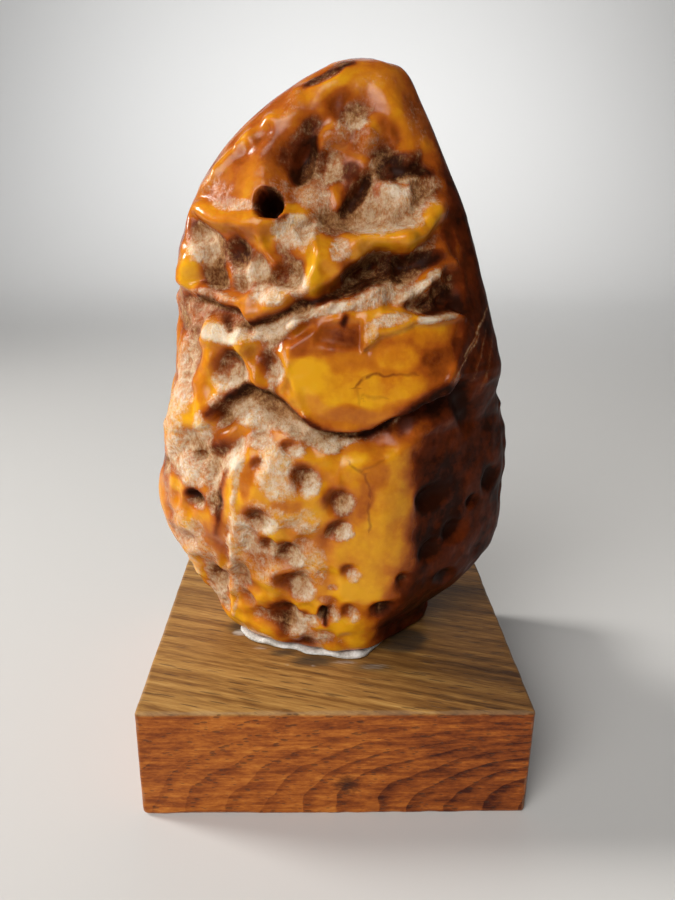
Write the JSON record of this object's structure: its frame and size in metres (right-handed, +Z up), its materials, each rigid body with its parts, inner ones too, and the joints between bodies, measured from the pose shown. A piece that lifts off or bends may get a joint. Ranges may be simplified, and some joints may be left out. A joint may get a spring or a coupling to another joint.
{
  "type": "raw amber piece on an oak block",
  "caption": "Upright lump of weathered, part-polished butterscotch amber glued by its foot to a square planed oak block; a display specimen.",
  "frame": {"origin": "middle of the oak block's underside", "axes": "+Z up; -Y is the lump's best side, with the chipped glossy face; +X is to the right of somebody who looks at that side"},
  "size_m": [0.08, 0.08, 0.1478],
  "materials": {
    "amber": "milky yellow to orange amber, polished on its high places, with a rough tan weathering crust in the hollows",
    "oak": "planed oak with a thin worn coat of oil, grain running left to right",
    "dried_glue": "dried white glue, dusty"
  },
  "bodies": {
    "root": {"amber": "amber", "oak_base": "oak", "glue": "dried_glue"}
  },
  "joints": []
}
